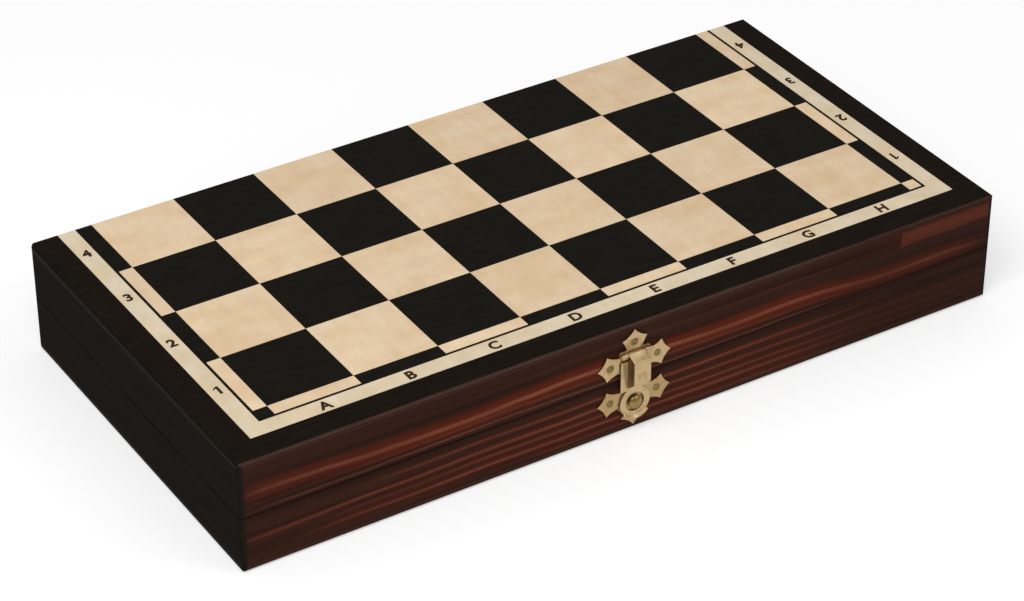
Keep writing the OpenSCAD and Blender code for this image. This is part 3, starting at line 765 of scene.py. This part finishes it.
for half, ranks, upSign in (("lid", "1234", 1), ("base", "8765", -1)):
    strip = burnCoordinates(half, ranks, upSign)
    print("coordinates burnt on the", half, len(strip.data.polygons), "faces")


# felt linings glued to the tray floors; in mm
liningSettings = {
    "width": 331.2,
    "depth": 156.2,
    "thick": 0.9,
    "cells": (110, 52),
    "lift": 0.12,               # how far the free surface goes up and down
    "waves": 60,                # per metre
    "edge": 0.25,
    "edgeSegments": 2,
    "smooth": 50,               # degrees
    "near": 1e-5,               # m
    "floors": {"base": (3, 1), "lid": (47, -1)},    # height, and which way is out of the tray
}


def layFelt(half, floorHeight, upSign):
    s = liningSettings
    top = (floorHeight + upSign * s["thick"]) * mm
    clearSelection()
    bpy.ops.mesh.primitive_grid_add(x_subdivisions=s["cells"][0], y_subdivisions=s["cells"][1], size=1)
    lining = bpy.context.object
    lining.name = half + "_felt_lining"
    lining.data.transform(Matrix.Translation((0, 0, top))
                          @ Matrix.Diagonal((s["width"] * mm, s["depth"] * mm, upSign, 1)))
    if upSign < 0:
        lining.data.flip_normals()
    pick(lining)
    thick = lining.modifiers.new("thick", "SOLIDIFY")
    thick.thickness = s["thick"] * mm
    thick.offset = -1
    bpy.ops.object.modifier_apply(modifier=thick.name)
    # the free surface is a little uneven
    for vertex in lining.data.vertices:
        if abs(vertex.co.z - top) < s["near"]:
            wave = noise.noise(Vector((vertex.co.x * s["waves"], vertex.co.y * s["waves"], floorHeight)))
            vertex.co.z += upSign * s["lift"] * mm * wave
    soft = lining.modifiers.new("soft edge", "BEVEL")
    soft.width = s["edge"] * mm
    soft.segments = s["edgeSegments"]
    bpy.ops.object.modifier_apply(modifier=soft.name)
    bpy.ops.object.shade_smooth_by_angle(angle=math.radians(s["smooth"]))
    lining.data.materials.append(felt)
    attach(lining, half)
    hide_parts(half + "_felt")


for half, (floorHeight, upSign) in liningSettings["floors"].items():
    layFelt(half, floorHeight, upSign)
print("felt laid")


# floor, light and surroundings; in metres and watts
studioSettings = {
    "floor": "#F4F4F4",
    "floorSize": 14,
    "floorDrop": 0.00005,       # a hair below the box, so that no two faces lie in one plane
    "glow": 1.46,
    "glowShare": 0.3,
    "world": 0.52,
    "target": (0, 0, 0.03),
}
# the glint is a small lamp, for the bright lines on the folds of the latch and on its knob
softboxes = (
    {"name": "key", "place": (-0.75, -0.6, 1.25), "size": (1.0, 0.8), "power": 12.5},
    {"name": "fill", "place": (0.85, -1.15, 1.15), "size": (1.2, 0.9), "power": 2.9},
    {"name": "glint", "place": (0.8, -1.1, 1.2), "size": (0.3, 0.14), "power": 1.1},
)

clearSelection()
floorPlace = (0, 0, -studioSettings["floorDrop"])
bpy.ops.mesh.primitive_plane_add(size=studioSettings["floorSize"], location=floorPlace)
bpy.ops.object.transform_apply(location=True, rotation=False, scale=False)
floor = bpy.context.object
floor.name = "floor"
floorMaterial = bpy.data.materials.new("paleFloor")
floorMaterial.use_nodes = True
tree = floorMaterial.node_tree
tree.nodes.clear()
paper = addNode(tree, "BsdfDiffuse", {"Color": linear(studioSettings["floor"])})
glow = addNode(tree, "Emission", {"Color": (1, 1, 1, 1), "Strength": studioSettings["glow"]})
path = addNode(tree, "LightPath")
# it glows where it is seen, straight or in a mirror, and throws none of that light on the box
seen = calculate(tree, "ADD", path.outputs["Is Camera Ray"], path.outputs["Is Glossy Ray"])
seen = addNode(tree, "Math", {"operation": "ADD", "use_clamp": True},
               {0: seen, 1: path.outputs["Is Transmission Ray"]})
share = calculate(tree, "MULTIPLY", seen.outputs[0], studioSettings["glowShare"])
blendFloor = addNode(tree, "MixShader", None, {0: share, 1: paper.outputs[0], 2: glow.outputs[0]})
addNode(tree, "OutputMaterial", None, {"Surface": blendFloor.outputs[0]})
floor.data.materials.append(floorMaterial)

world = bpy.data.worlds.new("studio")
bpy.context.scene.world = world
world.use_nodes = True
background = world.node_tree.nodes["Background"]
background.inputs["Color"].default_value = (1, 1, 1, 1)
background.inputs["Strength"].default_value = studioSettings["world"]

for softbox in softboxes:
    bpy.ops.object.light_add(type="AREA", location=softbox["place"])
    lamp = bpy.context.object
    lamp.name = softbox["name"]
    lamp.data.shape = "RECTANGLE"
    lamp.data.size, lamp.data.size_y = softbox["size"]
    lamp.data.energy = softbox["power"]
    away = Vector(studioSettings["target"]) - Vector(softbox["place"])
    lamp.rotation_euler = away.to_track_quat("-Z", "Y").to_euler()
print("studio lit")
